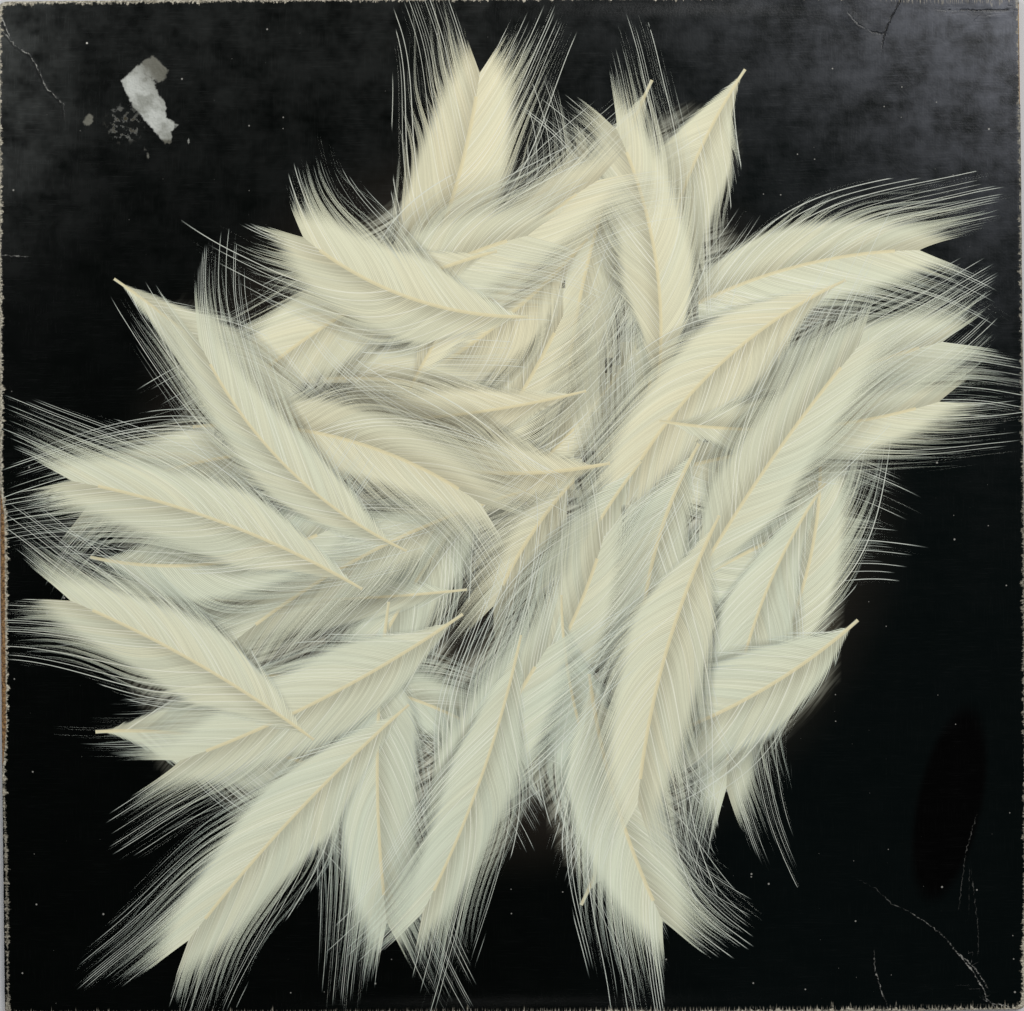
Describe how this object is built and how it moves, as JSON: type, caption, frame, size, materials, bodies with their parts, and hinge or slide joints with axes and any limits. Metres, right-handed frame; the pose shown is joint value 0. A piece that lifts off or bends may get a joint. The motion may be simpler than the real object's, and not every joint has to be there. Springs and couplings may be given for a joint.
{
  "type": "record sleeve",
  "caption": "Square card sleeve for a long-play record, printed front and lined back, open at one side, with a paper inner sleeve and a pressed disc inside.",
  "frame": {"origin": "middle of the sleeve on the surface its back rests on", "axes": "+Z out of the printed front, +X towards the open mouth, +Y towards the top edge"},
  "size_m": [0.315, 0.313, 0.0047],
  "materials": {
    "board": "matte",
    "front_print": "satin",
    "back_paper": "matte",
    "inner_paper": "matte",
    "vinyl": "gloss",
    "label_paper": "matte"
  },
  "bodies": {
    "root": {"board_back": "board", "board_front": "board", "board_spine": "board", "board_top_fold": "board", "board_bottom_fold": "board", "front_wrap": "front_print", "back_liner": "back_paper", "inner_back_leaf": "inner_paper", "inner_front_leaf": "inner_paper", "inner_fold": "inner_paper", "inner_top_seam": "inner_paper", "inner_bottom_seam": "inner_paper", "record_disc": "vinyl", "label_front": "label_paper", "label_back": "label_paper"}
  },
  "joints": []
}
